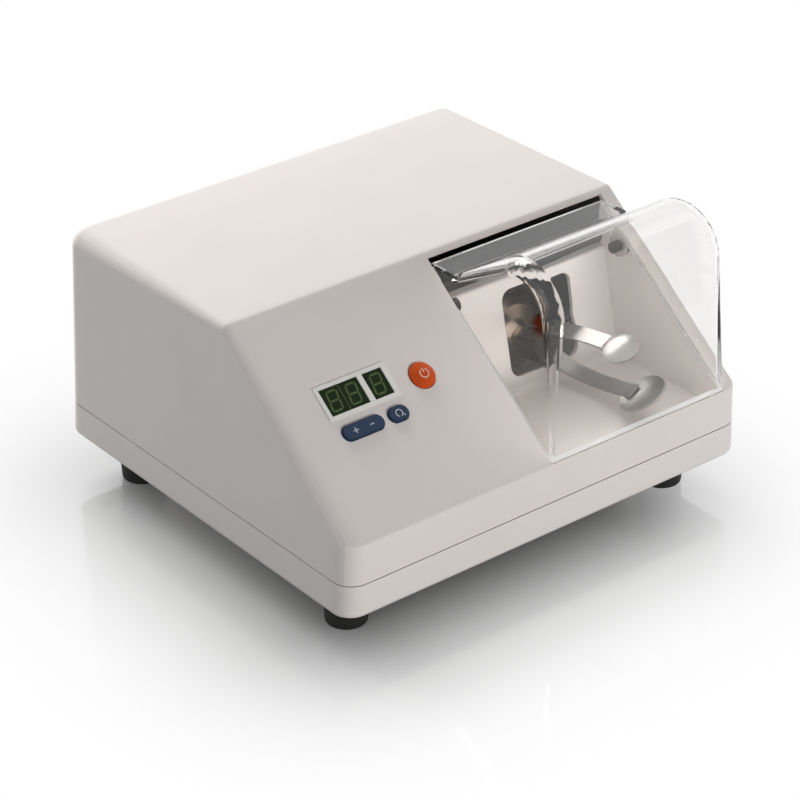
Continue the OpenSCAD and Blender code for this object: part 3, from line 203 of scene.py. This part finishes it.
LOOKS = {
    CASE: ["base_tray", "upper_casing"],
    TUB: ["mixing_chamber"],
    RUBBER: ["rubber_feet", "rubber_mounts"],
    ZINC: ["foot_screws", "case_screws", "chamber_screws", "board_screws", "mount_bolts", "transit_screws",
           "motor_screws", "hub_nut", "power_screws", "inlet_screws"],
    CLEAR: ["cover_shell"],
    DARK_PIN: ["hinge_pins", "clamp_screws"],
    BEZEL: ["display_bezel"],
    LENS: ["led_modules"],
    BOARD: ["control_board", "power_board"],
    BLACK: ["tact_switches", "interlock_switch", "fork_clamp", "guide_blocks", "relay", "power_inlet",
            "switch_body", "fuse_holder", "fuse_cap"],
    ORANGE: ["start_button"],
    BLUE: ["speed_button", "time_rocker"],
    PLATE: ["motor_cradle", "motor_can", "housing_cap"],
    BRIGHT: ["rotor_shaft", "wobble_hub", "bearing_inner", "bearing_balls", "bearing_outer", "guide_pins"],
    CAST: ["shaker_housing"],
    SPRING: ["upper_arm", "lower_arm"],
    CORE: ["transformer_core"],
    COIL: ["transformer_coil"],
    CAN_BLUE: ["capacitor"],
    BRASS: ["inlet_pins"],
    RED: ["switch_rocker"],
}
MATERIAL_OF = {node: mat for mat, nodes in LOOKS.items() for node in nodes}
for node, mat in MATERIAL_OF.items():
    NODES[node].data.materials.clear()
    NODES[node].data.materials.append(mat)


# Shapes
def add_object(name, mesh, mat, body):
    obj = bpy.data.objects.new(name, mesh)
    bpy.context.scene.collection.objects.link(obj)
    mesh.materials.append(mat)
    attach(obj, body)
    return obj


def shaded_inside_case(face, depth=2.0):
    """True for a face of the upper casing that looks inwards and lies deeper than the outer skin: it gets
    the painted shade.
    """
    x, y, z = [c / MM for c in face.center]
    side = CAD_BOX[1][0] / MM - (z - BASE_Z) * math.tan(SIDE_DRAFT) - depth
    back = -FRONT_Y - (z - BASE_Z) * math.tan(BACK_DRAFT) - depth
    under_slope = (PANEL.inverted() @ face.center).z / MM < -depth
    inward = face.normal.dot(CASE_CENTRE - face.center) > 0
    return inward and abs(x) < side and FRONT_Y + depth < y < back and z < CASE_TOP - depth and under_slope


def cut_edge(face):
    """True for the cover's sawn lower edge, which rests along the sill and the slope."""
    looks_down = face.normal.z < -0.7
    return looks_down and (PANEL.inverted() @ face.center).z < 0.5 * MM


def near_normals(mesh, limit=22.0):
    """Shade each face corner from the faces that meet there within the limit, large flats first."""
    planes, extent, around = [], {}, {}
    for face in mesh.polygons:
        plane = tuple(round(c, 2) for c in face.normal) + (round(face.normal.dot(face.center) / MM, 1),)
        planes.append(plane)
        extent[plane] = extent.get(plane, 0.0) + face.area / MM ** 2
    for face, plane in zip(mesh.polygons, planes):
        for index in face.vertices:
            around.setdefault(index, []).append((face.normal.copy(), extent[plane] ** 2))
    least = math.cos(math.radians(limit))
    normals = []
    for face in mesh.polygons:
        for index in face.vertices:
            close = [normal * weight for normal, weight in around[index] if normal.dot(face.normal) > least]
            normals.append(sum(close, Vector()).normalized())
    mesh.normals_split_custom_set(normals)


def cut_evenly(bm, cuts):
    """Join the facets of each flat and cut them again along planes, so that no long slivers are left."""
    bmesh.ops.dissolve_limit(bm, angle_limit=math.radians(0.4), verts=bm.verts, edges=bm.edges)
    for axis, places in cuts.items():
        normal = Vector((axis == "x", axis == "y", axis == "z"))
        for place in places:
            bmesh.ops.bisect_plane(bm, geom=bm.verts[:] + bm.edges[:] + bm.faces[:], dist=1e-7,
                                   plane_co=normal * place * MM, plane_no=normal)
    bmesh.ops.triangulate(bm, faces=[f for f in bm.faces if len(f.verts) > 4])


def smooth_copy(node, body, cuts=None, sharp=32.0, second=None, where=None):
    """A smooth copy of a CAD node, which it then stands for; where() picks faces for the second look."""
    bm = bmesh.new()
    bm.from_mesh(NODES[node].data)
    bmesh.ops.remove_doubles(bm, verts=bm.verts, dist=2e-6)
    if cuts:
        cut_evenly(bm, cuts)
    for face in bm.faces:
        face.smooth = True
    for edge in bm.edges:
        edge.smooth = not edge.is_manifold or edge.calc_face_angle(0) < math.radians(sharp)
    mesh = bpy.data.meshes.new(node + "_moulded")
    bm.to_mesh(mesh)
    bm.free()
    obj = add_object(node + "_moulded", mesh, MATERIAL_OF[node], body)
    if second:
        mesh.materials.append(second)
        for face in mesh.polygons:
            face.material_index = int(where(face))
    if cuts:
        even = obj.modifiers.new("even_shading", "WEIGHTED_NORMAL")
        even.keep_sharp = True
        even.weight = 90
    else:
        near_normals(mesh)
    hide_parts(node)


def steps(low, high, gap):
    return [low + gap * i for i in range(int((high - low) / gap) + 1)]


# The casing's inward faces get the near-black painted shade
smooth_copy("upper_casing", "casing", {"z": steps(45, 133, 8), "y": steps(-110, 110, 12)},
            second=CASE_INSIDE_SHADE, where=shaded_inside_case)
smooth_copy("base_tray", "casing", {"x": steps(-110, 110, 20), "y": steps(-100, 100, 20)})
smooth_copy("cover_shell", "cover", second=COVER_EDGE, where=cut_edge)
smooth_copy("upper_arm", "shaker")
smooth_copy("lower_arm", "shaker")
smooth_copy("shaker_housing", "shaker")
smooth_copy("fork_clamp", "shaker")
smooth_copy("rubber_feet", "casing")
smooth_copy("hinge_pins", "casing")
smooth_copy("motor_can", "casing")
smooth_copy("display_bezel", "casing")
smooth_copy("start_button", "start_key")
smooth_copy("speed_button", "speed_key")
smooth_copy("time_rocker", "time_key")


# Thickness of the printed strokes and of the digits' segments, and how far the strokes stand proud
PRINT_THICK, PRINT_LIFT = 0.08, 0.04


def ribbon_mesh(name, paths, width, lift, to_world):
    """Flat printed strokes along open paths, given in panel millimetres."""
    bm = bmesh.new()
    low = lift - PRINT_THICK
    for path in paths:
        last = len(path) - 1
        rows = []
        for i, p in enumerate(path):
            along = (Vector(path[min(i + 1, last)]) - Vector(path[max(i - 1, 0)])).normalized()
            side = Vector((-along.y, along.x)) * width / 2
            left, right = Vector(p) + side, Vector(p) - side
            corners = ((left, lift), (right, lift), (right, low), (left, low))
            rows.append([bm.verts.new(to_world(q.x, q.y, h)) for q, h in corners])
        for a, b in zip(rows, rows[1:]):
            for k in range(4):
                bm.faces.new((a[k], a[(k + 1) % 4], b[(k + 1) % 4], b[k]))
        bm.faces.new(rows[0])
        bm.faces.new(rows[-1][::-1])
    bmesh.ops.recalc_face_normals(bm, faces=bm.faces)
    mesh = bpy.data.meshes.new(name)
    bm.to_mesh(mesh)
    bm.free()
    return mesh


def arc_path(cx, cy, r, start, end, count=20):
    angles = [math.radians(start + (end - start) * i / count) for i in range(count + 1)]
    return [(cx + r * math.cos(angle), cy + r * math.sin(angle)) for angle in angles]


def flat_on_panel(x, s, n):
    return PANEL @ Vector((x * MM, s * MM, n * MM))


# Unlit digit segments behind the display lenses: a pair in the left window, one digit in the right one
DISPLAY_X, DIGIT_S = -75.5, 68.5
PAIR_X, SINGLE_X = DISPLAY_X - 7.6, DISPLAY_X + 12.25
HALF_PITCH = 5.55
DIGIT_X = [PAIR_X - HALF_PITCH, PAIR_X + HALF_PITCH, SINGLE_X]
DIGIT_WIDE, DIGIT_TALL = 5.6, 5.0
STROKE_HALF, STROKE_GAP = 0.5, 0.3
LEAN = math.tan(math.radians(8))
SEGMENT_LIFT = 0.19


def segment(cx, cs, length, upright):
    """One pointed stroke of a digit."""
    tip = length / 2
    body = tip - STROKE_HALF
    shape = [(-tip, 0), (-body, STROKE_HALF), (body, STROKE_HALF), (tip, 0), (body, -STROKE_HALF),
             (-body, -STROKE_HALF)]
    if upright:
        shape = [(-b, a) for a, b in shape]
    return [(cx + a, cs + b) for a, b in shape]


def digit_paths(x):
    """The seven strokes of a digit: three level ones and two upright ones on each side."""
    shapes = [segment(0, s, DIGIT_WIDE - STROKE_GAP, False) for s in (-DIGIT_TALL, 0, DIGIT_TALL)]
    for side in (-1, 1):
        for s in (-DIGIT_TALL / 2, DIGIT_TALL / 2):
            shapes.append(segment(side * DIGIT_WIDE / 2, s, DIGIT_TALL - STROKE_GAP, True))
    return [[(x + px + py * LEAN, DIGIT_S + py) for px, py in shape] for shape in shapes]


def plates_mesh(name, outlines, lift, thick):
    """Thin flat plates, one per closed outline in panel millimetres."""
    bm = bmesh.new()
    for outline in outlines:
        top = [bm.verts.new(flat_on_panel(x, s, lift)) for x, s in outline]
        low = [bm.verts.new(flat_on_panel(x, s, lift - thick)) for x, s in outline]
        bm.faces.new(top)
        bm.faces.new(low[::-1])
        for i in range(len(outline)):
            k = (i + 1) % len(outline)
            bm.faces.new((low[i], low[k], top[k], top[i]))
    bmesh.ops.recalc_face_normals(bm, faces=bm.faces)
    mesh = bpy.data.meshes.new(name)
    bm.to_mesh(mesh)
    bm.free()
    return mesh


strokes = [stroke for x in DIGIT_X for stroke in digit_paths(x)]
segments = plates_mesh("digit_segments", strokes, SEGMENT_LIFT, PRINT_THICK)
add_object("digit_segments", segments, SEGMENT, "casing")
# Line between the digits of the pair
DIVIDER_HALF, DIVIDER_REACH, DIVIDER_LIFT, DIVIDER_THICK = 0.22, 6.9, 0.2, 0.1
DIVIDER_X = (PAIR_X - DIVIDER_HALF, PAIR_X + DIVIDER_HALF)
DIVIDER_S = (DIGIT_S - DIVIDER_REACH, DIGIT_S + DIVIDER_REACH)
line = [(DIVIDER_X[0], DIVIDER_S[0]), (DIVIDER_X[1], DIVIDER_S[0]), (DIVIDER_X[1], DIVIDER_S[1]),
        (DIVIDER_X[0], DIVIDER_S[1])]
divider = plates_mesh("digit_divider", [line], DIVIDER_LIFT, DIVIDER_THICK)
add_object("digit_divider", divider, SEGMENT, "casing")

# The domed start button: place on the panel, radius, height of its side and of its dome
START_X, START_S, START_R = -39.3, 64.3, 6.7
SIDE_H, DOME_H = 0.9, 2.1
DOME_R = (START_R ** 2 + DOME_H ** 2) / (2 * DOME_H)


def on_dome(x, s, n):
    reach = math.hypot(x - START_X, s - START_S)
    rise = SIDE_H + DOME_H - DOME_R + math.sqrt(DOME_R ** 2 - reach ** 2)
    return flat_on_panel(x, s, rise + n)


# Open ring and short bar of the start symbol, which follow the dome
RING_R, RING_FROM, RING_TO = 2.3, 125, 415
BAR_FOOT, BAR_STEP, START_STROKE = 0.3, 0.6, 0.62
ring = arc_path(START_X, START_S, RING_R, RING_FROM, RING_TO)
bar = [(START_X, START_S + BAR_FOOT + i * BAR_STEP) for i in range(5)]
start_symbol = ribbon_mesh("start_symbol", [ring, bar], START_STROKE, PRINT_LIFT, on_dome)
add_object("start_symbol", start_symbol, PRINT_ORANGE, "start_key")

# The flat blue keys: height of their tops, places on the panel and symbols
KEY_S, KEY_TOP, KEY_STROKE = 51.2, 1.3, 0.5
TIME_X, SPEED_X = -82.7, -62.0
PLUS_X, MINUS_X = TIME_X - 4.7, TIME_X + 4.7
PLUS_HALF, MINUS_HALF = 1.5, 1.2
plus_minus = [[(PLUS_X - PLUS_HALF, KEY_S), (PLUS_X + PLUS_HALF, KEY_S)],
              [(PLUS_X, KEY_S - PLUS_HALF), (PLUS_X, KEY_S + PLUS_HALF)],
              [(MINUS_X - MINUS_HALF, KEY_S), (MINUS_X + MINUS_HALF, KEY_S)]]
time_symbols = ribbon_mesh("time_symbols", plus_minus, KEY_STROKE, KEY_TOP + PRINT_LIFT, flat_on_panel)
add_object("time_symbols", time_symbols, PRINT, "time_key")
# Open turn of the speed symbol and the arrow head at its end, measured from the key's middle
TURN_R, TURN_FROM, TURN_TO = 1.75, -30, 250
ARROW = ((0.6, -1.9), (1.7, -0.75), (2.6, -2.1))
turn = arc_path(SPEED_X, KEY_S, TURN_R, TURN_FROM, TURN_TO)
arrow = [(SPEED_X + x, KEY_S + s) for x, s in ARROW]
speed_symbol = ribbon_mesh("speed_symbol", [turn, arrow], KEY_STROKE, KEY_TOP + PRINT_LIFT, flat_on_panel)
add_object("speed_symbol", speed_symbol, PRINT, "speed_key")


# Stage
def maths(tree, operation, *values):
    node = tree.nodes.new("ShaderNodeMath")
    node.operation = operation
    for socket, value in zip(node.inputs, values):
        if isinstance(value, (int, float)):
            socket.default_value = value
        else:
            link(tree, value, socket)
    return node.outputs["Value"]


def seen_rays(tree, path):
    """1 for the rays that show the backdrop: camera and mirror rays, and all through the cover."""
    direct = maths(tree, "MAXIMUM", path.outputs["Is Camera Ray"], path.outputs["Is Glossy Ray"])
    first = maths(tree, "MULTIPLY", direct, maths(tree, "LESS_THAN", path.outputs["Diffuse Depth"], 0.5))
    return maths(tree, "MAXIMUM", first, path.outputs["Is Transmission Ray"])


MIRROR_SHARE, MIRROR_ROUGH = 0.25, 0.07
# Dark grey of the bench near the case, which is painted shade
BENCH_SHADE_GREY = (0.46, 0.465, 0.46, 1)
FLOOR_REACH = 6.0
# Painted shade: the bench is grey near the case and fades to a white glow outside a rectangle that lies
# under the case, a little to the left
FADE_LENGTH, FADE_POWER, FADE_LEFT = 0.078, 2.0, 0.018
FADE_INSET_X, FADE_INSET_Y = 0.056, 0.044
FADE_HALF_X, FADE_HALF_Y = CAD_BOX[1][0] - FADE_INSET_X, CAD_BOX[1][1] - FADE_INSET_Y


def floor_material():
    """Pale glossy bench: lamp shadow, painted shade and soft mirror image near the case, white farther out.
    """
    mat, tree, shader = material("floor_pale_painted_shade")
    shader.inputs["Base Color"].default_value = BENCH_SHADE_GREY
    shader.inputs["Roughness"].default_value = 0.5
    mirror = tree.nodes.new("ShaderNodeBsdfGlossy")
    mirror.inputs["Color"].default_value = (0.9, 0.9, 0.9, 1)
    mirror.inputs["Roughness"].default_value = MIRROR_ROUGH
    glossy_bench = tree.nodes.new("ShaderNodeMixShader")
    glossy_bench.inputs["Fac"].default_value = MIRROR_SHARE
    link(tree, shader.outputs["BSDF"], glossy_bench.inputs[1])
    link(tree, mirror.outputs["BSDF"], glossy_bench.inputs[2])
    coords = tree.nodes.new("ShaderNodeTexCoord")
    split = tree.nodes.new("ShaderNodeSeparateXYZ")
    link(tree, coords.outputs["Object"], split.inputs["Vector"])
    # Painted shade: the distance from the case sets how much white glow covers the grey bench, so the bench
    # darkens towards the case
    off_x = maths(tree, "ABSOLUTE", maths(tree, "ADD", split.outputs["X"], FADE_LEFT))
    off_y = maths(tree, "ABSOLUTE", split.outputs["Y"])
    out_x = maths(tree, "MAXIMUM", maths(tree, "SUBTRACT", off_x, FADE_HALF_X), 0.0)
    out_y = maths(tree, "MAXIMUM", maths(tree, "SUBTRACT", off_y, FADE_HALF_Y), 0.0)
    away = maths(tree, "SQRT", maths(tree, "ADD", maths(tree, "MULTIPLY", out_x, out_x),
                                     maths(tree, "MULTIPLY", out_y, out_y)))
    reach = maths(tree, "POWER", maths(tree, "MULTIPLY", away, 1 / FADE_LENGTH), FADE_POWER)
    fade = maths(tree, "SUBTRACT", 1.0, maths(tree, "EXPONENT", maths(tree, "MULTIPLY", reach, -1.0)))
    path = tree.nodes.new("ShaderNodeLightPath")
    glow = tree.nodes.new("ShaderNodeEmission")
    mix = tree.nodes.new("ShaderNodeMixShader")
    link(tree, maths(tree, "MULTIPLY", seen_rays(tree, path), fade), mix.inputs["Fac"])
    link(tree, glossy_bench.outputs["Shader"], mix.inputs[1])
    link(tree, glow.outputs["Emission"], mix.inputs[2])
    link(tree, mix.outputs["Shader"], tree.nodes["Material Output"].inputs["Surface"])
    return mat


def make_floor():
    bm = bmesh.new()
    bmesh.ops.create_grid(bm, x_segments=8, y_segments=8, size=FLOOR_REACH)
    mesh = bpy.data.meshes.new("floor")
    bm.to_mesh(mesh)
    bm.free()
    obj = bpy.data.objects.new("floor", mesh)
    bpy.context.scene.collection.objects.link(obj)
    mesh.materials.append(floor_material())


make_floor()

LAMP_TARGET = Vector((0, 0, 0.07))


def soft_light(name, place, width, height, power, through_cover=True):
    """Soft lamp aimed at the case, hidden in mirrors and, where asked, from rays through the cover."""
    data = bpy.data.lights.new(name, "AREA")
    data.shape = "RECTANGLE"
    data.size, data.size_y = width, height
    data.energy = power
    obj = bpy.data.objects.new(name, data)
    obj.location = place
    obj.rotation_euler = (LAMP_TARGET - Vector(place)).to_track_quat("-Z", "Y").to_euler()
    bpy.context.scene.collection.objects.link(obj)
    obj.visible_glossy = False
    obj.visible_transmission = through_cover


soft_light("top_back", (0.1, 1.46, 1.34), width=1.6, height=0.9, power=51)
soft_light("front_low", (0.35, -1.8, 0.16), width=1.8, height=0.3, power=21, through_cover=False)
soft_light("left_fill", (-1.8, -0.3, 0.5), width=1.0, height=1.0, power=4.6)

world = bpy.data.worlds.new("studio")
world.use_nodes = True
bpy.context.scene.world = world
sky_tree = world.node_tree
# A dim sky lights the case, and the rays that show the backdrop see white
sky = sky_tree.nodes["Background"]
sky.inputs["Color"].default_value = (0.98, 0.99, 1.0, 1)
sky.inputs["Strength"].default_value = 0.12
white = sky_tree.nodes.new("ShaderNodeBackground")
white.inputs["Color"].default_value = (1, 1, 1, 1)
white.inputs["Strength"].default_value = 1.0
ray_kind = sky_tree.nodes.new("ShaderNodeLightPath")
blend = sky_tree.nodes.new("ShaderNodeMixShader")
link(sky_tree, seen_rays(sky_tree, ray_kind), blend.inputs["Fac"])
link(sky_tree, sky.outputs["Background"], blend.inputs[1])
link(sky_tree, white.outputs["Background"], blend.inputs[2])
link(sky_tree, blend.outputs["Shader"], sky_tree.nodes["World Output"].inputs["Surface"])

# Camera fitted to the case's corners in the photograph
CAMERA_PLACE = (-0.8188, -1.01421, 0.79051)
CAMERA_AIM = Vector((0.5449, 0.6757, -0.4965))
FOCAL_LENGTH = 135.1
camera_data = bpy.data.cameras.new("camera")
camera_data.sensor_width = 36.0
camera_data.lens = FOCAL_LENGTH
camera_data.clip_start = 0.01
camera = bpy.data.objects.new("camera", camera_data)
camera.location = CAMERA_PLACE
camera.rotation_euler = CAMERA_AIM.to_track_quat("-Z", "Y").to_euler()
bpy.context.scene.collection.objects.link(camera)
bpy.context.scene.camera = camera
bpy.context.scene.view_settings.view_transform = "Standard"
